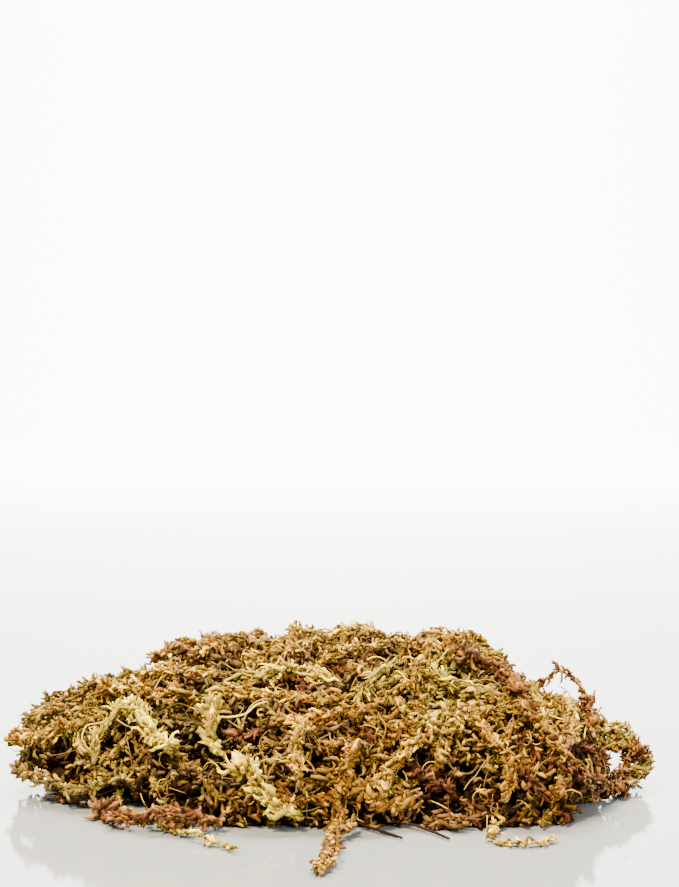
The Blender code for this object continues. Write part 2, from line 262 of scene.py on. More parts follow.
@dataclass
class Thicket:
    """Closed tapering tubes, gathered into one mesh with a colour at every vertex. How much
    lighter a leaf tip is, as a painted highlight, with the vertices between them as much darker,
    as painted shade, and how far forward at most, how high the ends' domes are for their rings'
    radii, and the edge that a tube's cell of the texture map keeps free, are shares.
    """

    places: list[Array] = field(default_factory=list)
    tints: list[Array] = field(default_factory=list)
    quads: list[Array] = field(default_factory=list)
    triangles: list[Array] = field(default_factory=list)
    blocks: list[tuple[int, int, int]] = field(default_factory=list)
    count: int = 0
    leaf_highlight_and_shade: float = 1.4
    forward_most: float = 0.3
    root_dome: float = 0.3
    tip_dome: float = 0.8
    cell_margin: float = 0.08

    def add(self, paths: Array, radii: Array, tints: Array, leaves: float = 0.0,
            turn: Array | None = None) -> None:
        """Sweeps a ring along every path: a ring's vertex is the path's point plus its radius
        times (cos a sideways + sin a square). With leaves, every second vertex of a ring, in
        turn from ring to ring, stands out and forward, like the tips of overlapping leaves,
        and is lighter, a painted highlight, while the vertices between are darker, painted shade.

        Args:
            paths: paths, rings and x, y, z.
            radii: paths, rings and sides.
            tints: paths, rings and colour.
            leaves: how far the leaf tips stand out, as a share of the radius, and how strong their
                painted highlight and shade are.
            turn: the angle that each path's rings start at.
        """
        many, rings, sides = radii.shape
        along, sideways, square = carried_frames(paths)
        angle = (np.arange(sides) * TURN / sides)[None]
        angle = angle + (np.zeros(many) if turn is None else turn)[:, None]
        around = (np.cos(angle)[:, None, :, None] * sideways[:, :, None]
                  + np.sin(angle)[:, None, :, None] * square[:, :, None])
        tips = ((np.arange(rings)[:, None] + np.arange(sides)[None]) % 2) * 2.0 - 1.0
        reach = np.linalg.norm(paths[:, 1:] - paths[:, :-1], axis=-1).mean(1)
        forward = along[:, :, None] * (tips[None, :, :, None] * reach[:, None, None, None])
        skin = (paths[:, :, None] + around * (radii * (1 + leaves * tips))[..., None]
                + forward * min(leaves, self.forward_most))
        ends = np.stack([paths[:, 0] - along[:, 0] * radii[:, 0, :1] * self.root_dome,
                         paths[:, -1] + along[:, -1] * radii[:, -1, :1] * self.tip_dome], axis=1)
        # Leaf tips get a painted highlight, the vertices between them painted shade.
        shade = tints[:, :, None] * (1 + self.leaf_highlight_and_shade * leaves * tips)[None, :, :, None]
        block = rings * sides + 2
        for gathered, ringed, ended in ((self.places, skin, ends),
                                        (self.tints, shade, tints[:, [0, -1]])):
            gathered.append(np.concatenate([ringed.reshape(many, -1, 3), ended], 1).reshape(-1, 3))
        offset = self.count + np.arange(many)[:, None, None] * block
        side = np.arange(sides)
        after = (side + 1) % sides
        row = np.arange(rings - 1)[:, None] * sides
        quad = np.stack([row + side, row + after, row + sides + after, row + sides + side], -1)
        self.quads.append((quad.reshape(1, -1, 4) + offset).reshape(-1, 4))
        last = (rings - 1) * sides
        root = np.stack([np.full(sides, rings * sides), after, side], -1)
        tip = np.stack([np.full(sides, rings * sides + 1), last + side, last + after], -1)
        self.triangles.append((np.concatenate([root, tip])[None] + offset).reshape(-1, 3))
        self.blocks.append((many, rings, sides))
        self.count += many * block

    def unrolled(self) -> Array:
        """A place on the texture map for every face corner. Each tube has one cell of a
        square grid, which it is unrolled into: its length across, its girth upwards.

        Returns:
            The places of the corners of the quads, then of the triangles.
        """
        grid = math.ceil(math.sqrt(sum(many for many, _, _ in self.blocks)))
        done = 0
        flat_quads, flat_triangles = [], []
        for many, rings, sides in self.blocks:
            cell = done + np.arange(many)
            done += many
            corner = np.stack([cell % grid, cell // grid], axis=1)[:, None, None]
            ring, side = np.meshgrid(np.arange(rings - 1), np.arange(sides), indexing="ij")
            ring, side = ring.ravel()[:, None], side.ravel()[:, None]
            quad = np.stack([(ring + np.array([0, 0, 1, 1])) / (rings - 1),
                             (side + np.array([0, 1, 1, 0])) / sides], axis=-1)
            side = np.arange(sides)[:, None]
            cap = np.concatenate([
                np.stack([np.full((sides, 3), end), (side + np.array(turns)) / sides], axis=-1)
                for end, turns in ((0.0, [0.5, 1, 0]), (1.0, [0.5, 0, 1]))])
            for shape, made in ((quad, flat_quads), (cap, flat_triangles)):
                inner = self.cell_margin + (1 - 2 * self.cell_margin) * shape[None]
                made.append(((inner + corner) / grid).reshape(-1, 2))
        return np.concatenate(flat_quads + flat_triangles)

    def build(self, name: str, material: Material, node: str, slot: str) -> None:
        """Makes the piece.

        Args:
            name: its name.
            material: its finish.
            node: the node that it takes the place of.
            slot: its slot in the record; not used.
        """
        quads = np.concatenate(self.quads)
        triangles = np.concatenate(self.triangles)
        corners = np.concatenate([quads.ravel(), triangles.ravel()])
        sizes = np.concatenate([np.full(len(quads), 4), np.full(len(triangles), 3)])
        starts = np.concatenate([[0], np.cumsum(sizes)[:-1]])
        made = mesh_piece(name, np.concatenate(self.places), corners, starts,
                          np.concatenate(self.tints), material)
        layer = made.data.uv_layers.new(name=UNROLLED_MAP)
        layer.uv.foreach_set("vector", self.unrolled().astype(np.float32).ravel())
        put_in_place_of(node, made, 2 * len(quads) + len(triangles))


# Reading the frame and the photograph's view


@dataclass
class View:
    """The camera that the photograph was taken with, in metres and degrees."""

    eye: Place = (0.00361, -0.69177, 0.22456)
    pitch: float = 6.4
    lens_mm: float = 70.0
    sensor_mm: float = 36.0
    width_px: int = 679
    height_px: int = 887

    def towards(self, x_px: float, y_px: float) -> Vector:
        """The direction that a pixel of the photograph looks in: right, up and forward from
        the image's middle by its focal length in pixels, tilted down by the pitch.

        Args:
            x_px: the pixel's place across.
            y_px: its place down.

        Returns:
            The unit direction.
        """
        focal = self.height_px * self.lens_mm / self.sensor_mm
        tilt = math.radians(self.pitch)
        right = x_px - self.width_px / 2
        up = self.height_px / 2 - y_px
        forward = focal * math.cos(tilt) + up * math.sin(tilt)
        rise = up * math.cos(tilt) - focal * math.sin(tilt)
        return Vector((right, forward, rise)).normalized()

    def build(self) -> None:
        """Makes the camera, and the scene's camera it is."""
        camera = bpy.data.cameras.new("camera")
        camera.lens = self.lens_mm
        camera.sensor_fit = "VERTICAL"
        camera.sensor_height = self.sensor_mm
        camera.clip_start = 0.01
        made = bpy.data.objects.new("camera", camera)
        made.location = self.eye
        made.rotation_euler = (math.radians(90 - self.pitch), 0.0, 0.0)
        bpy.context.scene.collection.objects.link(made)
        bpy.context.scene.camera = made


@dataclass
class Surface:
    """A surface of triangles, in mm. A face whose normal's height is less than looks_down is
    underneath.
    """

    places: Array
    triangles: Array
    looks_down: ClassVar[float] = -0.7

    @classmethod
    def of(cls, node: str) -> "Surface":
        """A CAD node's surface, with its loose triangles' shared vertices merged.

        Args:
            node: the node's name.

        Returns:
            The surface.
        """
        mesh = frame["nodes"][node].data
        places = np.empty(len(mesh.vertices) * 3)
        mesh.vertices.foreach_get("co", places)
        mesh.calc_loop_triangles()
        corners = np.empty(len(mesh.loop_triangles) * 3, np.int32)
        mesh.loop_triangles.foreach_get("vertices", corners)
        places, index = np.unique(np.round(places.reshape(-1, 3) / MM, 3), axis=0,
                                  return_inverse=True)
        triangles = index.ravel()[corners].reshape(-1, 3)
        sound = (triangles != np.roll(triangles, -1, axis=1)).all(1)
        return cls(places, triangles[sound])

    @cached_property
    def tree(self) -> BVHTree:
        """What finds the nearest place."""
        return BVHTree.FromPolygons([Vector(place) for place in self.places],
                                    self.triangles.tolist())

    @cached_property
    def areas(self) -> Array:
        """Each face's normal, twice as long as its area."""
        corners = self.places[self.triangles]
        return np.cross(corners[:, 1] - corners[:, 0], corners[:, 2] - corners[:, 0])

    def distances(self, sources: Array) -> Array:
        """How far each vertex is from the nearest source, along the mesh's edges.

        Args:
            sources: the vertices to measure from.

        Returns:
            One length for every vertex.
        """
        near: list[list[int]] = [[] for _ in self.places]
        for a, b, c in self.triangles.tolist():
            near[a] += (b, c)
            near[b] += (a, c)
            near[c] += (a, b)
        best = np.full(len(self.places), np.inf)
        best[sources] = 0.0
        queue = [(0.0, int(source)) for source in sources]
        heapq.heapify(queue)
        while queue:
            far, here = heapq.heappop(queue)
            if far > best[here]:
                continue
            for there in near[here]:
                reach = far + float(np.linalg.norm(self.places[there] - self.places[here]))
                if reach < best[there]:
                    best[there] = reach
                    heapq.heappush(queue, (reach, there))
        return best

    def centreline(self, stretch_length: float = 5.0, cap_reach: float = 3.5) -> Array:
        """The middle line of a strand: the vertices are sorted by their distance along the
        mesh from one end, and each stretch of it gives one point, its vertices' mean.

        Args:
            stretch_length: the length of a stretch.
            cap_reach: how far from its end vertex the strand's end is taken to reach.

        Returns:
            The line's points, in mm.
        """
        end = int(self.distances(np.array([0])).argmax())
        cap = np.flatnonzero(np.linalg.norm(self.places - self.places[end], axis=1) < cap_reach)
        stretch = (self.distances(cap) / stretch_length).astype(int)
        return np.array([self.places[stretch == k].mean(0) for k in np.unique(stretch)])

    def quartered(self) -> "Surface":
        """Cuts each triangle in four at the middles of its edges.

        Returns:
            The new surface.
        """
        edges = np.sort(self.triangles[:, [0, 1, 1, 2, 2, 0]].reshape(-1, 2), axis=1)
        edges, index = np.unique(edges, axis=0, return_inverse=True)
        a, b, c = self.triangles.T
        ab, bc, ca = (index.reshape(-1, 3) + len(self.places)).T
        faces = np.concatenate([np.stack(face, 1) for face in (
            (a, ab, ca), (ab, b, bc), (ca, bc, c), (ab, bc, ca))])
        return Surface(np.concatenate([self.places, self.places[edges].mean(1)]), faces)

    def normals(self) -> Array:
        """The way out at each vertex: the sum of its faces' area vectors, at length one.

        Returns:
            One direction for every vertex.
        """
        normals = np.zeros_like(self.places)
        for corner in range(3):
            np.add.at(normals, self.triangles[:, corner], self.areas)
        return unit(normals)

    def samples(self, count: int, underside: float, random: Random) -> tuple[Array, Array]:
        """Chance places on the surface: a triangle picked by its area, then a point of it
        whose shares of the corners are 1 - r, r (1 - b) and r b, with r the root of a chance
        number.

        Args:
            count: how many places.
            underside: the share that the area of faces that look down counts for.
            random: the source of chances.

        Returns:
            The places and the surface's normals there.
        """
        normals = unit(self.areas)
        share = (np.linalg.norm(self.areas, axis=1)
                 * np.where(normals[:, 2] < self.looks_down, underside, 1.0))
        pick = random.choice(len(share), count, p=share / share.sum())
        a, b = random.random((2, count, 1))
        root = np.sqrt(a)
        first, second, third = self.places[self.triangles[pick]].transpose(1, 0, 2)
        return (1 - root) * first + root * (1 - b) * second + root * b * third, normals[pick]

    def nearest(self, points: Array) -> tuple[Array, Array]:
        """The surface's places nearest to the points, and its normals there."""
        found = [self.tree.find_nearest(Vector(point))[:2] for point in points]
        return tuple(np.array(values) for values in zip(*found))

    def depth(self, points: Array) -> Array:
        """How far inside the surface each point is, less than nothing outside.

        Args:
            points: the points.

        Returns:
            One length for every point.
        """
        places, normals = self.nearest(points)
        gap = points - places
        return -np.copysign(np.linalg.norm(gap, axis=1), (gap * normals).sum(1))

    def seen_at(self, view: View, x_px: float, y_px: float) -> Array:
        """The place on the surface that a pixel of the photograph shows, or the nearest to
        its line of sight, looked for every 10 mm of it near the clump.

        Args:
            view: the camera.
            x_px: the pixel's place across.
            y_px: its place down.

        Returns:
            The place.
        """
        eye = Vector(view.eye) / MM
        towards = view.towards(x_px, y_px)
        hit, _, _, _ = self.tree.ray_cast(eye, towards)
        if hit is None:
            beside = [self.tree.find_nearest(eye + towards * far) for far in range(550, 850, 10)]
            hit = min(beside, key=lambda found: found[3])[0]
        return np.array(hit)


# Finishes


def add_node(tree: NodeTree, kind: str, inputs: dict | None = None,
             **settings: object) -> Node:
    """Adds a node with its settings, and sets or links its inputs.

    Args:
        tree: the node tree.
        kind: the node's type, without its first words.
        inputs: by socket name or number, a value or another node's output.
        settings: the node's own properties.

    Returns:
        The node.
    """
    node = tree.nodes.new(f"ShaderNode{kind}")
    for name, value in settings.items():
        setattr(node, name, value)
    for name, value in (inputs or {}).items():
        if isinstance(value, NodeSocket):
            tree.links.new(value, node.inputs[name])
        else:
            node.inputs[name].default_value = value
    return node


def new_tree(name: str) -> tuple[Material, NodeTree, NodeSocket]:
    """Makes an empty node material.

    Args:
        name: its name.

    Returns:
        The material, its tree, and the object coordinates in it.
    """
    material = bpy.data.materials.new(name)
    material.use_nodes = True
    tree = material.node_tree
    tree.nodes.clear()
    return material, tree, add_node(tree, "TexCoord").outputs["Object"]


def ramped(tree: NodeTree, value: NodeSocket, start: float, end: float, low: float = 0.0,
           high: float = 1.0, curve: str = "LINEAR") -> NodeSocket:
    """A value that goes from low to high as another goes from start to end, and no further.

    Args:
        tree: the node tree.
        value: the other value.
        start: where the ramp starts.
        end: where it ends.
        low: the result before it.
        high: the result after it.
        curve: how it goes between.

    Returns:
        The result's socket.
    """
    return add_node(tree, "MapRange", {
        "Value": value, "From Min": start, "From Max": end, "To Min": low, "To Max": high},
        interpolation_type=curve).outputs["Result"]


def blended(tree: NodeTree, share: NodeSocket, first: NodeSocket | str, second: str,
            blend: str = "MIX") -> NodeSocket:
    """A colour between two.

    Args:
        tree: the node tree.
        share: how much of the second there is.
        first: the first colour, or a socket that gives it.
        second: the second colour.
        blend: how the second is laid over the first.

    Returns:
        The colour's socket. Three kinds share a Mix node's socket names, so the colours'
        sockets are found by number.
    """
    first_colour, second_colour, mixed_colour = 6, 7, 2
    return add_node(tree, "Mix", {
        "Factor": share, first_colour: opaque(first) if isinstance(first, str) else first,
        second_colour: opaque(second)},
        data_type="RGBA", blend_type=blend).outputs[mixed_colour]


def add_shader(tree: NodeTree, inputs: dict) -> None:
    """Ends a material with the Principled shader and its output."""
    shader = add_node(tree, "BsdfPrincipled", inputs)
    add_node(tree, "OutputMaterial", {"Surface": shader.outputs["BSDF"]})


@dataclass(frozen=True)
class MossFinish:
    """Dried sphagnum leaf: thin overlapping cell walls, mostly air, so it is matt, with painted
    shade in the gaps between its tiny leaves, and stained in blotches from branch to branch.
    """

    name: str
    roughness: float
    stain: str
    shine: float = 0.03
    stain_share: float = 0.5
    leaf_cell_mm: float = 0.85
    crease_shade_range: Range = (1.12, 0.74)
    blotch_mm: float = 9.0
    relief_mm: float = 0.16
    relief_strength: float = 0.6

    def build(self) -> Material:
        """Makes the material.

        Returns:
            The material.
        """
        material, tree, place = new_tree(self.name)
        tint = add_node(tree, "Attribute", attribute_name="tint").outputs["Color"]
        scales = add_node(tree, "TexVoronoi", {
            "Vector": place, "Scale": 1 / (self.leaf_cell_mm * MM)}).outputs["Distance"]
        blotch = add_node(tree, "TexNoise", {
            "Vector": place, "Scale": 1 / (self.blotch_mm * MM), "Detail": 2.0}).outputs["Fac"]
        # The edges of the leaf cells are darker: painted shade in the creases.
        cell_edge_shade = ramped(tree, scales, 0.1, 0.75, *self.crease_shade_range)
        toned = add_node(tree, "VectorMath", {0: tint, "Scale": cell_edge_shade}, operation="SCALE")
        share = ramped(tree, blotch, 0.5, 0.72, high=self.stain_share)
        stained = blended(tree, share, toned.outputs["Vector"], self.stain, "MULTIPLY")
        bump = add_node(tree, "Bump", {
            "Strength": self.relief_strength, "Distance": -self.relief_mm * MM,
            "Height": scales})
        add_shader(tree, {
            "Base Color": stained, "Roughness": self.roughness,
            "Specular IOR Level": self.shine, "Normal": bump.outputs["Normal"]})
        return material


@dataclass(frozen=True)
class BarkFinish:
    """Dry heather bark: dark, split along the grain, with greyer raised fibres."""

    name: str = "dry_bark"
    dark: str = "#120B06"
    light: str = "#33241A"
    fibre_mm: float = 0.6
    relief_mm: float = 0.2

    def build(self) -> Material:
        """Makes the material.

        Returns:
            The material.
        """
        material, tree, place = new_tree(self.name)
        fibre = add_node(tree, "TexNoise", {
            "Vector": place, "Scale": 1 / (self.fibre_mm * MM), "Detail": 4.0,
            "Roughness": 0.7}).outputs["Fac"]
        colour = blended(tree, ramped(tree, fibre, 0.35, 0.7), self.dark, self.light)
        bump = add_node(tree, "Bump", {
            "Strength": 0.7, "Distance": self.relief_mm * MM, "Height": fibre})
        add_shader(tree, {
            "Base Color": colour, "Roughness": 0.85, "Specular IOR Level": 0.2,
            "Normal": bump.outputs["Normal"]})
        return material


@dataclass(frozen=True)
class FloorFinish:
    """Glossy acrylic sheet under the clump, which mirrors it softly near its foot, running
    back into a white paper backdrop, which is matt. The sheet is a little uneven in gloss.
    """

    name: str = "acrylic_floor_and_backdrop"
    near: str = "#7D7D76"
    far: str = "#F4F4F2"
    near_until: float = 0.3
    far_from: float = 1.1
    roughness: float = 0.08
    far_roughness: float = 0.9
    refraction: float = 1.9

    def build(self) -> Material:
        """Makes the material.

        Returns:
            The material.
        """
        material, tree, place = new_tree(self.name)
        haze = add_node(tree, "TexNoise", {
            "Vector": place, "Scale": 9.0, "Detail": 2.0}).outputs["Fac"]
        rough = ramped(tree, haze, 0.0, 1.0, self.roughness * 0.8, self.roughness * 1.25)
        back = add_node(tree, "SeparateXYZ", {"Vector": place}).outputs["Y"]
        share = ramped(tree, back, self.near_until, self.far_from, curve="SMOOTHSTEP")
        colour = blended(tree, share, self.near, self.far)
        matt = add_node(tree, "Mix", {
            "Factor": share, "A": rough, "B": self.far_roughness}).outputs["Result"]
        add_shader(tree, {"Base Color": colour, "Roughness": matt, "IOR": self.refraction})
        return material


FINISHES = {
    "dry_moss_straw": MossFinish("dry_sphagnum_straw", 0.60, "#C0A050"),
    "dry_moss_amber": MossFinish("dry_sphagnum_amber", 0.58, "#A87838"),
    "dry_moss_umber": MossFinish("dry_sphagnum_umber", 0.64, "#80582C"),
    "dry_moss_matted": MossFinish("dry_sphagnum_matted", 0.68, "#A08448"),
}
# The moss deep in the clump, whose tints are darkened as painted shade.
DEEP_FINISH = MossFinish("sphagnum_deep_painted_shade", 0.9, "#7A4A2C", shine=0.0)


# Branches


@dataclass(frozen=True)
class Habit:
    """How a strand carries its branches. Lengths in mm, angles in degrees."""

    spacing: float
    per_bundle: int
    length: float
    girth: float
    spread: float
    curl: float
    unruly: float
    stem: float
    head: int
    head_length: float


class Growth(Enum):
    """The habits of the strands."""

    WOOLLY = Habit(1.05, 3, 5.4, 1.6, 32, 112, 18, 0.5, 12, 4.6)
    PLUMP = Habit(1.5, 3, 7.4, 2.2, 20, 70, 14, 0.8, 12, 6.5)
    FIBROUS = Habit(1.5, 3, 9.0, 1.15, 10, 45, 9, 0.8, 10, 6.0)
    SHAGGY = Habit(1.1, 4, 5.2, 1.65, 36, 112, 19, 0.6, 14, 4.6)
    STARRY = Habit(1.1, 3, 6.0, 1.9, 16, 100, 12, 0.8, 26, 7.5)
    TENDRIL = Habit(1.5, 2, 4.0, 1.25, 34, 140, 26, 0.45, 8, 3.6)
    WIRY = Habit(1.3, 2, 4.4, 1.4, 38, 90, 22, 0.8, 8, 4.0)
    BARE = Habit(2.2, 3, 8.0, 1.1, 12, 40, 12, 1.0, 16, 6.0)
    WOVEN = Habit(1.25, 3, 5.6, 1.65, 32, 112, 18, 0.45, 10, 4.4)


WOOLLY, PLUMP, FIBROUS, SHAGGY, STARRY, TENDRIL, WIRY, BARE, WOVEN = Growth


@dataclass(frozen=True)
class Scatter:
    """How branches differ from their habit. A pair is a range. Angles in radians, the stray
    part and the weights of the bend as shares of a direction, the rest as shares of the
    habit's own sizes or of the stem.
    """

    station: float = 0.6
    bundle_turn: float = 0.3
    branch_turn: float = 0.55
    spread: Range = (0.1, 2.4)
    length: Range = (0.5, 1.45)
    girth: Range = (0.6, 1.25)
    curl: float = 1.8
    head_station: Range = (0.965, 0.999)
    head_forward: Range = (-0.1, 1.0)
    head_length: Range = (0.75, 1.2)
    head_curl_degrees: Range = (35, 20)
    bend_forward: float = 0.4
    bend_in: float = 0.8
    bend_down: float = 0.2
    stray: float = 0.35
    root_out: float = 0.6


@dataclass(frozen=True)
class BranchForm:
    """A branch's form and shade along its length: where its first and last rings are, how
    blunt its ends are, its girth at the root, where it is full and how much thinner its tip
    is, how uneven and wavy it is and how high over the floor for its girth, its colour at the
    root, dark there as painted shade where the branches crowd, where the colour is full and how
    quickly, and where its dark tip begins and how dark.
    """

    first_ring: float = 0.04
    last_ring: float = 0.96
    bluntness: float = 3.5
    root_girth: float = 0.62
    full_from: float = 0.4
    tip_thinning: float = 0.15
    uneven: float = 0.15
    wiggle: float = 0.085
    floor_gap: float = 0.66
    root_painted_shade: float = 0.22
    lit_from: float = 0.55
    lit_power: float = 1.3
    tip_from: float = 0.9
    tip_shade: float = 0.18

    def stations(self, rings: int) -> Array:
        """Where the rings are: closer together at the ends, as the cosine of an even angle."""
        return 0.5 - 0.5 * np.cos(math.pi * np.linspace(self.first_ring, self.last_ring, rings))

    def girths(self, share: Array) -> Array:
        """The girth along the branch: (1 - |2 s - 1|^bluntness)^0.5, drawn in evenly towards
        the root, and less the tip's thinning times s^2.

        Args:
            share: the shares s of the length.

        Returns:
            A share of the full girth for each.
        """
        drawn_in = self.root_girth + (1 - self.root_girth) * np.clip(share / self.full_from, 0, 1)
        return ((1 - np.abs(2 * share - 1) ** self.bluntness) ** 0.5 * drawn_in
                * (1.0 - self.tip_thinning * share ** 2))

    def tones(self, share: Array) -> Array:
        """The brightness along the branch: dark at the root as painted shade where the branches
        crowd, full from a share of its length on, and a little darker at the tip.

        Args:
            share: the shares of the length.

        Returns:
            A share of the full colour for each.
        """
        lit = np.clip(share / self.lit_from, 0, 1) ** self.lit_power
        return ((self.root_painted_shade + (1 - self.root_painted_shade) * lit)
                * (1.0 - self.tip_shade * (share > self.tip_from)))


SCATTER = Scatter()
FORM = BranchForm()


@dataclass
class Sprays:
    """Many branches: where each starts, how it sets off, bends, and its size and colour."""

    roots: Array
    heads: Array
    bends: Array
    lengths: Array
    girths: Array
    curls: Array
    tints: Array

    def kept(self, which: Array) -> "Sprays":
        """Only the branches that which is true for."""
        return Sprays(*(values[which] for values in vars(self).values()))

    def middles(self) -> Array:
        """About where each branch's middle is."""
        return self.roots + self.heads * (self.lengths * 0.5)[:, None]

    def paths(self, share: Array) -> Array:
        """The branches' middle lines. A branch is an arc that turns through its curl c: at
        the share s of its length L, it is L sin(c s) / c along its head direction and
        L (1 - cos(c s)) / c along its bend direction.

        Args:
            share: the shares of the length that the rings are at.

        Returns:
            Paths, rings and x, y, z.
        """
        straightest = 0.05
        share = share[None, :, None]
        curl = np.maximum(np.abs(self.curls), straightest)[:, None, None]
        long = self.lengths[:, None, None]
        return (self.roots[:, None] + self.heads[:, None] * (long * np.sin(curl * share) / curl)
                + self.bends[:, None] * (long * (1 - np.cos(curl * share)) / curl))


def mixed(hues: Hues, count: int, random: Random) -> Array:
    """A colour for every branch: two of the hues in a random mix, at a random brightness,
    which is 0.32 + 1.2 r^2.2 for a chance number r, so that few are bright.

    Args:
        hues: the strand's hues, each as likely.
        count: how many colours.
        random: the source of chances.

    Returns:
        Linear colours.
    """
    palette = np.array([linear(hue.value) for hue in hues])
    first, second = random.integers(0, len(palette), (2, count))
    share = random.random((count, 1))
    colour = palette[first] * share + palette[second] * (1 - share)
    return colour * (0.32 + 1.2 * random.random((count, 1)) ** 2.2)


def main_hues(hues: Hues, random: Random) -> Hues:
    """One strand's own hues out of its place's: its main one three times, and another."""
    main, other = (hues[int(k)] for k in random.integers(0, len(hues), 2))
    return main, main, main, other


def tufts(thicket: Thicket, sprays: Sprays, random: Random, sides: int = 6,
          painted_shade_and_tone: Array | None = None, leaves: float = 0.1) -> None:
    """Adds branches to a thicket, each of the form that FORM says, wavy and a little uneven.

    Args:
        thicket: what they are added to.
        sprays: the branches.
        random: the source of chances.
        sides: sides of a branch, an even number. It has half as many rings, and three more.
        painted_shade_and_tone: a factor on every branch's colour: painted shade by depth or in a
            pit, times a chance tone.
        leaves: how far its leaves stand out, and how strong their painted highlight and shade are.
    """
    if not len(sprays.roots):
        return
    rings = 3 + sides // 2
    share = FORM.stations(rings)
    paths = sprays.paths(share)
    many = len(paths)
    wiggle = random.normal(0.0, FORM.wiggle, (many, 1, 3)) * sprays.lengths[:, None, None]
    paths = paths + wiggle * np.sin(TURN * share)[None, :, None]
    uneven = random.uniform(1 - FORM.uneven, 1 + FORM.uneven, (many, rings))
    radii = sprays.girths[:, None] / 2 * FORM.girths(share)[None] * uneven
    paths = above_floor(paths, FORM.floor_gap * sprays.girths[:, None])
    # Each branch's colour along it, with painted shade at its root.
    tints = sprays.tints[:, None] * FORM.tones(share)[None, :, None]
    # Painted shade by depth or in a pit, times a chance tone where one is given.
    if painted_shade_and_tone is not None:
        tints = tints * painted_shade_and_tone[:, None, None]
    thicket.add(paths, np.repeat(radii[:, :, None], sides, axis=2), tints, leaves,
                random.uniform(0, TURN, many))


def branches_on(path: Array, habit: Habit, hues: Hues, random: Random,
                fullness: float = 1.0) -> Sprays:
    """The branches of one strand. Bundles follow each other up the stem, each turned by about
    the golden angle from the last, and a head of short branches closes the tip. Each branch
    leans forward from square to the stem and bends back in towards it and down.

    Args:
        path: the stem's points, closely and evenly spaced.
        habit: how it carries its branches.
        hues: its colours.
        random: the source of chances.
        fullness: a factor on how many branches there are and how long.

    Returns:
        The branches.
    """
    along, sideways, square = frame_of(path)
    length = float(np.linalg.norm(path[1] - path[0])) * (len(path) - 1)
    bundles = max(2, int(length / habit.spacing * fullness))
    per, count = habit.per_bundle, habit.head
    sizes = bundles * per
    station = (np.repeat(np.arange(bundles) + 0.5, per) / bundles
               + random.normal(0, SCATTER.station / bundles, sizes)).clip(0, 0.999)
    turns = np.arange(bundles) * GOLDEN_ANGLE + random.normal(0, SCATTER.bundle_turn, bundles)
    azimuth = np.repeat(turns, per) + random.normal(0, SCATTER.branch_turn, sizes)
    spread = np.radians(random.normal(habit.spread, habit.unruly, sizes)).clip(*SCATTER.spread)
    long = habit.length * fullness * random.uniform(*SCATTER.length, sizes)
    curl = np.radians(random.normal(habit.curl, habit.unruly * SCATTER.curl, sizes))
    station = np.concatenate([station, random.uniform(*SCATTER.head_station, count)])
    azimuth = np.concatenate([azimuth, random.uniform(0, TURN, count)])
    spread = np.concatenate([spread, np.arccos(random.uniform(*SCATTER.head_forward, count))])
    long = np.concatenate([long, habit.head_length * random.uniform(*SCATTER.head_length, count)])
    curl = np.concatenate([curl, np.radians(random.normal(*SCATTER.head_curl_degrees, count))])
    index = station * (len(path) - 1)
    low = index.astype(int)
    part = (index - low)[:, None]
    here = path[low] * (1 - part) + path[low + 1] * part
    forward = along[low]
    radial = np.cos(azimuth)[:, None] * sideways[low] + np.sin(azimuth)[:, None] * square[low]
    heads = unit(np.cos(spread)[:, None] * forward + np.sin(spread)[:, None] * radial)
    stray = random.normal(0, SCATTER.stray, heads.shape)
    bends = squared_to(forward * SCATTER.bend_forward - radial * SCATTER.bend_in
                       - UP * SCATTER.bend_down + stray, heads)
    girth = habit.girth * random.uniform(*SCATTER.girth, len(long))
    return Sprays(here + radial * habit.stem * SCATTER.root_out, heads, bends, long, girth,
                  np.abs(curl), mixed(hues, len(long), random))


def stem_on(thicket: Thicket, path: Array, radius: float, tint: Array) -> None:
    """Adds a strand's stem: a six-sided tube that thins to half by its tip.

    Args:
        thicket: what it is added to.
        path: the stem's points.
        radius: its radius at the root.
        tint: its colour.
    """
    thinning = np.linspace(1.0, 0.5, len(path))
    sides = 6
    radii = np.repeat((radius * thinning)[None, :, None], sides, axis=2)
    thicket.add(path[None], radii, np.broadcast_to(tint, (1, len(path), 3)), leaves=0.06)


# The matted body


@dataclass(frozen=True)
class Patch:
    """A place in the photograph and the hues of the moss there."""

    x_px: float
    y_px: float
    hues: Hues


@dataclass(frozen=True)
class Pit:
    """A dark hollow in the clump's front, by its place in the photograph and its radius."""

    x_px: float
    y_px: float
    radius: float


PATCHES = (
    Patch(30, 745, (OLIVE, TAN, STRAW)), Patch(75, 770, (TAN, OLIVE, STRAW, GOLD)),
    Patch(105, 735, (STRAW, GOLD, OLIVE)), Patch(60, 800, (TAN, UMBER, RUST)),
    Patch(120, 700, (TAN, GOLD, OLIVE)), Patch(200, 665, (OLIVE, TAN, RUST)),
    Patch(160, 740, (TAN, GOLD, OLIVE)), Patch(215, 745, (GOLD, STRAW, TAN)),
    Patch(230, 800, (GOLD, AMBER, TAN)), Patch(280, 660, (TAN, RUST, GOLD)),
    Patch(290, 740, (STRAW, GOLD, TAN)), Patch(300, 800, (GOLD, STRAW, AMBER)),
    Patch(330, 660, (TAN, AMBER, RUST)), Patch(370, 680, (RUST, TAN, GOLD)),
    Patch(340, 725, (AMBER, RUST, GOLD)), Patch(390, 760, (AMBER, GOLD, AMBER)),
    Patch(420, 690, (STRAW, OLIVE, GOLD)), Patch(440, 800, (RUST, AMBER, TAN)),
    Patch(490, 740, (OLIVE, STRAW, GOLD)), Patch(520, 780, (GOLD, AMBER, STRAW)),
    Patch(540, 720, (GOLD, STRAW, AMBER)), Patch(555, 760, (AMBER, RUST, GOLD)),
    Patch(600, 740, (RUST, AMBER, RUST)), Patch(580, 800, (RUST, AMBER, TAN)),
)
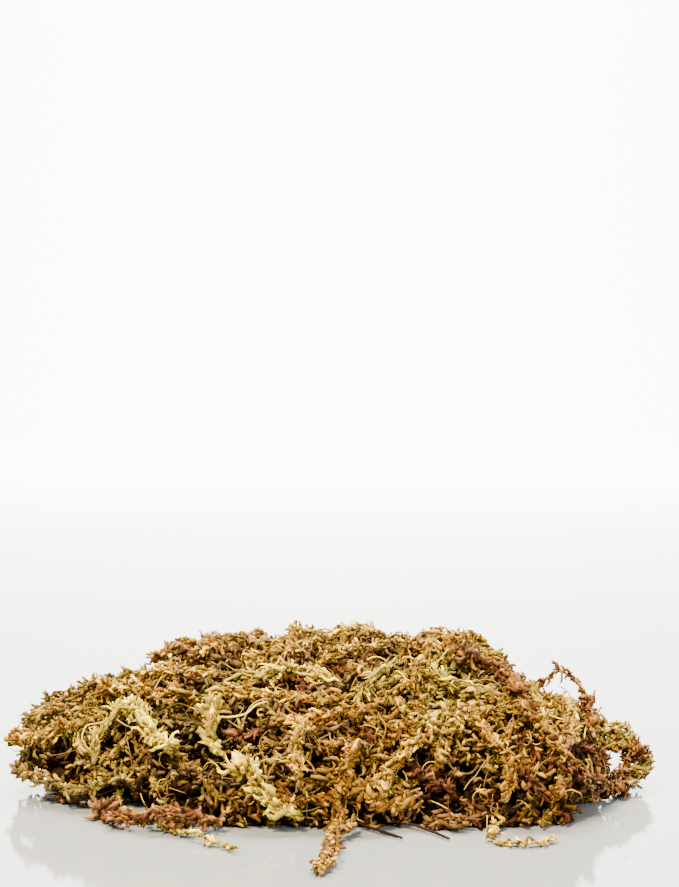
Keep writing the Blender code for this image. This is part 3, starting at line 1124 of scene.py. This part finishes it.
PITS = (
    Pit(252, 710, 4.5), Pit(195, 758, 3.5), Pit(311, 766, 6.0), Pit(279, 772, 3.0),
    Pit(360, 704, 5.5), Pit(397, 745, 3.5), Pit(452, 737, 4.0), Pit(466, 788, 5.0),
    Pit(406, 766, 4.0), Pit(571, 784, 3.5), Pit(513, 802, 4.0), Pit(160, 792, 7.5),
    Pit(180, 795, 6.5), Pit(148, 808, 3.5), Pit(108, 743, 4.0),
)


class Noise(Enum):
    """The seeds of the body's chances and smooth noises."""

    RELIEF = 9
    UNDERLAYER = 3
    UNDERLAYER_TINT = 4
    WOVEN = 21
    LOOSE = 31
    FIBRES = 41
    DEEP = 51
    FLOW = 61

    def source(self) -> Random:
        """The source of chances with this seed."""
        return np.random.default_rng(self.value)


@dataclass
class MattedBody:
    """The body of the clump: an underlayer, strands woven over it, and single branches."""

    finishes: dict[str, Material]
    node: str = "moss_mat"
    slot: str = "dry_moss_matted"
    underlayer_depth: float = 7.0
    underlayer_roughness: float = 2.0
    underlayer_shade: float = 0.1
    underlayer_lowest: float = 0.6
    relief_height: float = 4.0
    relief_length: float = 32.0
    pit_depth: float = 9.0
    pit_shade: float = 0.26
    woven_strands: int = 148
    woven_steps: tuple[int, int] = (7, 15)
    woven_step: float = 5.5
    woven_weave: float = 2.0
    woven_shades: Range = (0.4, 1.15)
    buried_deeper_than: float = 4.5
    loose: int = 4000
    loose_shade: float = 0.9
    flow_length: float = 24.0
    flow_stray: float = 0.35
    deep: int = 4000
    deep_shades: Range = (0.35, 0.9)
    fibres: int = 680
    fibre_rings: int = 10
    bare_stems: int = 60
    middle: tuple[float, float] = (-6.0, 8.0)
    depth_stretch: float = 1.5
    sectors: tuple[str, ...] = (
        "back", "back_right", "front_right", "front", "front_left", "back_left")

    def __post_init__(self) -> None:
        """Reads the body's surface and places the patches and pits on it."""
        self.mound = Surface.of(self.node)
        self.patch_places, self.pit_places = (
            np.array([self.mound.seen_at(View(), spot.x_px, spot.y_px) for spot in spots])
            for spots in (PATCHES, PITS))
        self.pit_radii = np.array([pit.radius for pit in PITS])

    def hues_at(self, place: Array) -> Hues:
        """The hues of the patch nearest to a place, measured mostly across the view."""
        gap = (self.patch_places - place) * np.array([1.0, 0.35, 1.0])
        return PATCHES[int((gap ** 2).sum(1).argmin())].hues

    def relief(self, places: Array) -> Array:
        """How far the moss sinks below the surface at each place, as a smooth noise."""
        return self.relief_height * waves(places, self.relief_length, Noise.RELIEF.value, 10)

    def pit_gaps(self, points: Array) -> Array:
        """How far each point is from the middle of each pit."""
        return np.linalg.norm(points[:, None] - self.pit_places[None], axis=2)

    def clear_of_pits(self, points: Array, wider: float = 1.0) -> Array:
        """Whether each point is outside every pit, or out of reach of it by a factor."""
        return (self.pit_gaps(points) > self.pit_radii[None] * wider).all(1)

    def painted_shade_and_tone(self, deep: Array) -> Array:
        """How much darker a branch is by its depth: painted shade, deeper in the moss."""
        return np.interp(deep, [-1.0, 2.0, 5.0, 8.0], [1.0, 0.8, 0.45, 0.28])

    def sector_of(self, points: Array) -> Array:
        """Which of the sectors round the clump's middle each point is in: the nearest by its
        bearing, with the depth stretched to make the clump about round.

        Args:
            points: the points.

        Returns:
            A sector's number for every point.
        """
        x, y = self.middle
        turn = np.arctan2(points[:, 0] - x, (points[:, 1] - y) * self.depth_stretch)
        count = len(self.sectors)
        return np.round(turn / (TURN / count)).astype(int) % count

    def underlayer(self) -> Surface:
        """Makes the dark moss deep between the strands, its darkness painted shade: the body's
        surface with each triangle cut in four, moved inwards by the depth and a smooth noise, and
        further in at a pit.

        Returns:
            Its surface.
        """
        skin = self.mound.quartered()
        places = skin.places
        pit = np.exp(-(self.pit_gaps(places) / (self.pit_radii * 1.3)) ** 2).max(1)
        rough = waves(places, 9.0, Noise.UNDERLAYER.value)
        inwards = (self.underlayer_depth + self.pit_depth * pit + self.relief(places)
                   + self.underlayer_roughness * rough)
        inwards = np.where(places[:, 2] < 0.5, 0.0, inwards)
        moved = places - skin.normals() * inwards[:, None]
        moved[:, 2] = np.maximum(moved[:, 2], self.underlayer_lowest)
        patchy = 1.0 + 0.5 * waves(places, 5.0, Noise.UNDERLAYER_TINT.value)
        # The underlayer's tint is dark as painted shade, in random patches.
        tints = linear(RUST.value) * self.underlayer_shade * patchy[:, None]
        count = len(skin.triangles)
        piece = mesh_piece("matted_underlayer", moved, skin.triangles.ravel(),
                           np.arange(count) * 3, tints, self.deep_finish)
        put_in_place_of(self.node, piece, count)
        return Surface(moved, skin.triangles)

    def deep_branches(self, underlayer: Surface) -> None:
        """Makes the dark branches that stand on the underlayer, dimmed as painted shade, so that
        every gap ends in moss.

        Args:
            underlayer: its surface.
        """
        random = Noise.DEEP.source()
        count = self.deep
        roots, normals = underlayer.samples(count, 0.1, random)
        heads = unit(random.normal(0, 0.8, roots.shape) + normals)
        bends = squared_to(random.normal(size=roots.shape) - normals * 0.3, heads)
        sprays = Sprays(roots - normals, heads, bends, random.uniform(5.0, 8.0, count),
                        random.uniform(1.8, 2.6, count),
                        np.radians(random.uniform(30, 120, count)),
                        mixed((UMBER, RUST, TAN), count, random))
        thicket = Thicket()
        # Deep branches are dimmed as painted shade by a chance amount, and more in and round a
        # pit.
        shade = np.where(self.clear_of_pits(roots, 1.8), 1.0, self.pit_shade)
        tufts(thicket, sprays, random, 4, shade * random.uniform(*self.deep_shades, count))
        thicket.build("deep_branches", self.deep_finish, self.node, self.slot)

    def woven_path(self, random: Random, start: Array, sunk_by: float = 1.4,
                   wander: float = 0.22) -> Array:
        """A strand's way over the body: it sets off in a chance direction, drifts to one side
        or the other, and weaves up and down through the surface.

        Args:
            random: the source of chances.
            start: the place that it starts from.
            sunk_by: how far below the surface it is on the whole.
            wander: how sharply it bends to the sides.

        Returns:
            The way's points.
        """
        find = self.mound.tree.find_nearest
        place, normal, _, _ = find(Vector(start))
        heading = Vector(random.normal(size=3))
        drift = 0.0
        phase = random.uniform(0, TURN)
        points = []
        for k in range(int(random.integers(*self.woven_steps))):
            sunk = sunk_by + self.woven_weave * math.sin(phase + k * 0.8)
            points.append(np.array(place - normal * sunk))
            drift = 0.6 * drift + float(random.normal(0, wander))
            heading = (heading - normal * heading.dot(normal)).normalized()
            heading = (heading + normal.cross(heading) * drift).normalized()
            place, normal, _, _ = find(place + heading * self.woven_step)
        points = np.array(points)
        _, normals = self.mound.nearest(points)
        return points - normals * self.relief(points)[:, None]

    def woven(self) -> None:
        """Makes the strands woven over the body, in one piece for each side of the clump."""
        random = Noise.WOVEN.source()
        starts, _ = self.mound.samples(self.woven_strands, 0.12, random)
        sectors = self.sector_of(starts)
        habit = WOVEN.value
        for k, side in enumerate(self.sectors):
            thicket = Thicket()
            for start in starts[sectors == k]:
                path = above_floor(resampled(self.woven_path(random, start), 1.2), 1.2)
                hues = main_hues(self.hues_at(path.mean(0)), random)
                sprays = branches_on(path, habit, hues, random)
                middles = sprays.middles()
                deep = self.mound.depth(middles) - self.relief(middles)
                keep = (deep < self.buried_deeper_than) & self.clear_of_pits(middles)
                stem_on(thicket, path, habit.stem, linear(TAN.value) * 0.5)
                tufts(thicket, sprays.kept(keep), random, 4,
                      self.painted_shade_and_tone(deep[keep]) * random.uniform(*self.woven_shades))
            self.build_side("woven_strands", side, thicket)

    def build_side(self, kind: str, side: str, thicket: Thicket) -> None:
        """Makes the piece of one kind on one side of the clump."""
        thicket.build(f"{kind}_{side}", self.finishes[self.slot], self.node, self.slot)

    def loose_branches(self) -> None:
        """Makes the single branches that fill in between the strands, in one piece for each
        side. Neighbours lie about the same way, along a smooth noise.
        """
        random = Noise.LOOSE.source()
        count = self.loose
        places, normals = self.mound.samples(count, 0.3, random)
        sunk = random.uniform(0.0, 4.5, count)
        flow = unit(wave_vectors(places, self.flow_length, Noise.FLOW.value))
        flat = squared_to(flow + random.normal(0, self.flow_stray, (count, 3)), normals)
        lift = random.uniform(-0.25, 0.45, (count, 1))
        heads = unit(flat + normals * lift)
        bends = squared_to(random.normal(size=(count, 3)) - normals * 0.4, heads)
        tints = np.concatenate([mixed(self.hues_at(place), 1, random) for place in places])
        roots = places - normals * (sunk + self.relief(places))[:, None]
        sprays = Sprays(roots, heads, bends, random.uniform(4.2, 7.2, count),
                        random.uniform(1.3, 1.95, count),
                        np.radians(random.uniform(40, 130, count)), tints * self.loose_shade)
        keep = self.clear_of_pits(sprays.middles())
        sectors = self.sector_of(places)
        for k, side in enumerate(self.sectors):
            which = keep & (sectors == k)
            thicket = Thicket()
            tufts(thicket, sprays.kept(which), random, 4,
                  self.painted_shade_and_tone(sunk[which] - lift[which, 0] * 2.5))
            self.build_side("loose_branches", side, thicket)

    def fine_fibres(self) -> None:
        """Makes the stripped stems, as thin as hairs or thicker and longer, that curl out of
        the moss.
        """
        random = Noise.FIBRES.source()
        count, rings = self.fibres, self.fibre_rings
        places, normals = self.mound.samples(count, 0.05, random)
        heads = unit(squared_to(random.normal(size=(count, 3)), normals)
                     + normals * random.uniform(0.2, 0.8, (count, 1)))
        bends = squared_to(random.normal(size=(count, 3)) * 0.5 - normals - UP * 0.3, heads)
        sprays = Sprays(places, heads, bends, random.uniform(7.0, 22.0, count),
                        np.ones(count), np.radians(random.uniform(110, 330, count)),
                        mixed((STRAW, GOLD, TAN), count, random))
        paths = above_floor(sprays.paths(np.linspace(0.0, 1.0, rings)), 0.3)
        radii = np.broadcast_to(random.uniform(0.14, 0.3, (count, 1, 1)), (count, rings, 4))
        thicket = Thicket()
        thicket.add(paths, radii, np.repeat(sprays.tints[:, None], rings, axis=1))
        starts, _ = self.mound.samples(self.bare_stems, 0.05, random)
        for start in starts:
            path = resampled(self.woven_path(random, start, -0.8, 0.5)[:9], 1.5)
            tint = mixed((STRAW, OLIVE, TAN), 1, random)[0]
            stem_on(thicket, above_floor(path, 0.6), random.uniform(0.3, 0.5), tint)
        thicket.build("fine_fibres", self.finishes["dry_moss_straw"], self.node, self.slot)

    def build(self) -> None:
        """Makes the body's pieces."""
        self.deep_finish = DEEP_FINISH.build()
        self.deep_branches(self.underlayer())
        self.woven()
        self.loose_branches()
        self.fine_fibres()


# The strands


@dataclass(frozen=True)
class Accent:
    """A stretch of a strand in hues of its own: what is within reach of a place, seen from
    the front, in mm. With no hues it is a stretch without branches.
    """

    x: float
    z: float
    reach: float
    hues: Hues


@dataclass(frozen=True)
class Looks:
    """How a strand looks: its habit, its hues, how full it is, how many thinner strands are
    tangled round it and how widely, its branches' sides, whether its head is at the end
    that its middle line was read from first, its accents, and how far its middle arches up.
    """

    growth: Growth
    hues: Hues
    fullness: float = 1.0
    companions: int = 1
    bulk: float = 1.0
    sides: int = 6
    flipped: bool = False
    accents: tuple[Accent, ...] = ()
    lift: float = 0.0


# The strands that can be followed in the photograph.
FOLLOWED = {
    "centre_fall_strand": Looks(SHAGGY, (AMBER, GOLD, AMBER), companions=2),
    "front_tail_strand": Looks(SHAGGY, (GOLD, AMBER, TAN), fullness=1.1),
    "front_left_tendril": Looks(TENDRIL, (CREAM, STRAW), companions=0),
    "front_right_tendril": Looks(TENDRIL, (CREAM, STRAW, GOLD), fullness=1.2, companions=0),
    "orange_arm_strand": Looks(PLUMP, (AMBER, GOLD), companions=2),
    "yellow_bundle_strand": Looks(PLUMP, (CREAM, CREAM, STRAW), fullness=1.1, companions=2),
    "pale_tuft_strand": Looks(WOOLLY, (CREAM,), fullness=1.3, companions=3),
    "left_stem_strand": Looks(BARE, (STRAW, CREAM), companions=0, flipped=True),
    "hanging_branch_strand": Looks(PLUMP, (CREAM, STRAW, STRAW)),
    "pale_brow_strand": Looks(FIBROUS, (CREAM, STRAW), fullness=1.1),
    "brow_arch_strand": Looks(FIBROUS, (STRAW, OLIVE, CREAM), companions=0),
    "right_long_strand": Looks(FIBROUS, (CREAM, STRAW, OLIVE)),
    "orange_middle_strand": Looks(SHAGGY, (AMBER, GOLD)),
    "right_crown_strand": Looks(SHAGGY, (AMBER, TAN, RUST), fullness=1.2, companions=2),
    "left_rim_strand": Looks(WOOLLY, (OLIVE, TAN, GOLD)),
    "crest_strand": Looks(WOOLLY, (TAN, GOLD, AMBER)),
    "left_run_strand": Looks(WOOLLY, (OLIVE, STRAW, TAN)),
    "front_left_trail": Looks(STARRY, (RUST, AMBER, RUST, TAN)),
    "left_low_strand": Looks(WOOLLY, (TAN, UMBER, RUST)),
    "front_foot_strand": Looks(SHAGGY, (TAN, UMBER, AMBER)),
    "right_outer_strand": Looks(SHAGGY, (RUST, AMBER, GOLD)),
    "right_inner_strand": Looks(SHAGGY, (AMBER, GOLD)),
    "amber_cap_strand": Looks(WOOLLY, (GOLD, AMBER, STRAW), companions=2),
    "right_arch_stem": Looks(
        WIRY, (AMBER, RUST, AMBER), companions=0,
        accents=(Accent(108.0, 52.0, 8.0, (OLIVE, TAN)),), lift=5.0),
    "right_end_loop": Looks(
        SHAGGY, (RUST, RUST, AMBER), fullness=1.5, companions=8, bulk=1.8, sides=4,
        accents=(Accent(130.0, 6.0, 9.0, (OLIVE, STRAW, TAN)),
                 Accent(117.0, 27.0, 10.0, (OLIVE, STRAW, GOLD)),
                 Accent(99.0, 46.0, 13.0, ()))),
    "right_foot_strand": Looks(SHAGGY, (RUST, UMBER, TAN), fullness=1.3, companions=2),
}
# The others, by the region that they lie in, which their names begin with.
GROWN = {
    "front_strand": Looks(WOOLLY, (GOLD, AMBER, STRAW), sides=4),
    "crown_strand": Looks(WOOLLY, (TAN, STRAW, GOLD), sides=4),
    "left_strand": Looks(WOOLLY, (OLIVE, TAN, GOLD), sides=4),
    "right_strand": Looks(SHAGGY, (AMBER, GOLD, TAN, STRAW), sides=4),
    "back_strand": Looks(WOOLLY, (TAN, AMBER, RUST, STRAW), sides=4),
}


@dataclass
class Strand:
    """One strand of the frame, made leafy."""

    node: str
    slot: str
    looks: Looks
    stem_step: float = 1.1
    stem_shade: float = 0.9
    sway: float = 1.4
    sway_length: float = 15.0
    companion_gap: float = 2.6
    companion_turn: float = 34.0
    buried_deeper_than: float = 3.5

    def companion(self, path: Array, random: Random) -> Array:
        """A thinner strand's way round this one: a loose helix about the path, with a random
        start and sense, over a random stretch of it.

        Args:
            path: this strand's stem.
            random: the source of chances.

        Returns:
            The way's points.
        """
        _, sideways, square = frame_of(path)
        turn = (np.arange(len(path)) * self.stem_step / self.companion_turn * 2 * math.pi
                * random.choice([-1.0, 1.0]) + random.uniform(0, TURN))[:, None]
        gap = self.companion_gap * self.looks.bulk * random.uniform(0.7, 1.3)
        way = path + gap * (np.cos(turn) * sideways + np.sin(turn) * square)
        first, missing = (int(random.integers(0, max(1, len(way) // 4))) for _ in range(2))
        return resampled(way[first:len(way) - missing], self.stem_step)

    def accented(self, sprays: Sprays, random: Random) -> Sprays:
        """Gives the branches that an accent reaches its hues, or leaves them out.

        Args:
            sprays: the branches.
            random: the source of chances.

        Returns:
            The branches that stay.
        """
        for accent in self.looks.accents:
            middles = sprays.middles()
            near = np.hypot(middles[:, 0] - accent.x, middles[:, 2] - accent.z) < accent.reach
            if accent.hues:
                sprays.tints[near] = mixed(accent.hues, int(near.sum()), random)
            else:
                sprays = sprays.kept(~near)
        return sprays

    def build(self, body: MattedBody) -> None:
        """Makes the leafy strand along the node's middle line. Its branches are left out
        inside the body, and the simpler strands' branches over its pits too.

        Args:
            body: the matted body.
        """
        looks = self.looks
        seed = zlib.crc32(self.node.encode())
        random = np.random.default_rng(seed)
        habit = looks.growth.value
        path = resampled(Surface.of(self.node).centreline(), self.stem_step)
        if looks.flipped:
            path = path[::-1]
        sway = wave_vectors(path, self.sway_length, seed)
        path = path + UP * looks.lift * np.sin(np.linspace(0, math.pi, len(path)))[:, None]
        path = above_floor(path + sway * self.sway, habit.stem)
        ways = [(path, habit, looks.fullness)]
        thin = TENDRIL.value
        for _ in range(looks.companions):
            ways.append((above_floor(self.companion(path, random), thin.stem), thin, 1.0))
        thicket = Thicket()
        for way, carries, fullness in ways:
            stem_on(thicket, way, carries.stem, linear(TAN.value) * self.stem_shade)
            sprays = branches_on(way, carries, looks.hues, random, fullness)
            middles = sprays.middles()
            bare = body.mound.depth(middles) < self.buried_deeper_than
            if looks.sides < Looks.sides:
                bare &= body.clear_of_pits(middles)
            tufts(thicket, self.accented(sprays.kept(bare), random), random, looks.sides)
        thicket.build(f"{self.node}_leafy", body.finishes[self.slot], self.node, self.slot)


def strands() -> list[Strand]:
    """Every strand of the frame, with its slot, in the record's order.

    Returns:
        The strands.
    """
    parts = [(part["node"], part["material_slot"]) for part in frame["record"]["subparts"]]
    looks = {node: FOLLOWED.get(node) or GROWN.get(node[:-3]) for node, _ in parts}
    return [Strand(node, slot, looks[node]) for node, slot in parts if looks[node]]


@dataclass
class BarkSliver:
    """A splinter of bark at the foot of the clump."""

    node: str
    slot: str = "bark_sliver"
    sides: int = 8
    radius: float = 0.62
    grey: float = 0.1

    def build(self, material: Material) -> None:
        """Makes the splinter: rings along the node's middle line, with their radius uneven
        along the grain, tapering to both ends.

        Args:
            material: the finish.
        """
        random = np.random.default_rng(zlib.crc32(self.node.encode()))
        path = resampled(Surface.of(self.node).centreline(4.0), 0.7)
        share = np.linspace(0.0, 1.0, len(path))
        taper = 0.35 + 0.65 * np.sin(math.pi * (0.1 + 0.85 * share)) ** 0.6
        ridges = random.uniform(0.7, 1.3, self.sides)
        uneven = random.uniform(0.85, 1.15, (len(path), self.sides))
        radii = self.radius * taper[:, None] * ridges[None] * uneven
        thicket = Thicket()
        thicket.add(above_floor(path, 0.9, 0.3)[None], radii[None],
                    np.full((1, len(path), 3), self.grey))
        thicket.build(f"{self.node}_splinter", material, self.node, self.slot)


# The studio


@dataclass
class Studio:
    """A floor that curves up into a backdrop, and soft lights, in metres and watts."""

    reach: float = 3.0
    backdrop_at: float = 1.4
    backdrop_bend: float = 0.8
    backdrop_height: float = 2.5
    sky_colour: str = "#ECEFF6"
    sky_strength: float = 0.55

    def floor(self) -> None:
        """Sweeps a profile from left to right: flat, then a quarter circle, with y and z as
        its radius times sin a and (1 - cos a), then upright.
        """
        turn = np.linspace(0.0, math.pi / 2, 16)
        bend_y = self.backdrop_at + self.backdrop_bend * np.sin(turn)
        bend_z = self.backdrop_bend * (1 - np.cos(turn))
        profile = np.stack([
            np.concatenate([[-self.reach], bend_y, bend_y[-1:]]),
            np.concatenate([[0.0], bend_z, [self.backdrop_height]])], axis=1)
        rows = len(profile)
        places = np.empty((rows, 2, 3))
        places[:, :, 0] = [-self.reach, self.reach]
        places[:, :, 1:] = profile[:, None]
        row = np.arange(rows - 1) * 2
        quads = np.stack([row, row + 1, row + 3, row + 2], axis=1)
        mesh_piece("floor", places.reshape(-1, 3) / MM, quads.ravel(),
                            np.arange(rows - 1) * 4, np.ones((rows * 2, 3)),
                            FloorFinish().build())

    def softbox(self, name: str, place: Place, size: float,
                power: float, colour: str = "#FFFFFF",
                aim: Place = (0.0, 0.0, 0.03)) -> None:
        """Adds a square area light, which the polished floor doesn't mirror.

        Args:
            name: the light's name.
            place: where it is.
            size: its side.
            power: its power.
            colour: its colour.
            aim: the place that it faces, the clump's middle if nothing is said.
        """
        light = bpy.data.lights.new(name, "AREA")
        light.size = size
        light.energy = power
        light.color = linear(colour)
        made = bpy.data.objects.new(name, light)
        made.visible_glossy = False
        made.location = place
        made.rotation_euler = (Vector(aim) - Vector(place)).to_track_quat("-Z", "Y").to_euler()
        bpy.context.scene.collection.objects.link(made)

    def build(self) -> None:
        """Makes the floor, the lights and the sky."""
        self.floor()
        self.softbox("key_light", (-0.4, -0.75, 1.35), 0.3, 128.0, "#FFF0D4")
        self.softbox("fill_light", (1.1, -0.9, 0.7), 0.7, 48.0, "#E6EDFF")
        self.softbox("top_light", (0.35, 0.55, 1.3), 0.6, 24.0, "#E6EFFF")
        self.softbox("backdrop_light", (0.0, 0.6, 1.9), 1.4, 540.0, aim=(0.0, 1.9, 0.9))
        world = bpy.data.worlds.new("studio_sky")
        world.use_nodes = True
        sky = world.node_tree.nodes["Background"]
        sky.inputs["Color"].default_value = opaque(self.sky_colour)
        sky.inputs["Strength"].default_value = self.sky_strength
        bpy.context.scene.world = world


def main() -> None:
    """Builds the clump and its studio, and writes how large the clump comes out."""
    logging.basicConfig(level=logging.INFO, format="%(message)s")
    body = MattedBody({slot: finish.build() for slot, finish in FINISHES.items()})
    body.build()
    for strand in strands():
        strand.build(body)
    bark = BarkFinish().build()
    for node in ("bark_sliver_front", "bark_sliver_right"):
        BarkSliver(node).build(bark)
    Studio().build()
    View().build()
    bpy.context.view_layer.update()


if __name__ == "__main__":
    main()
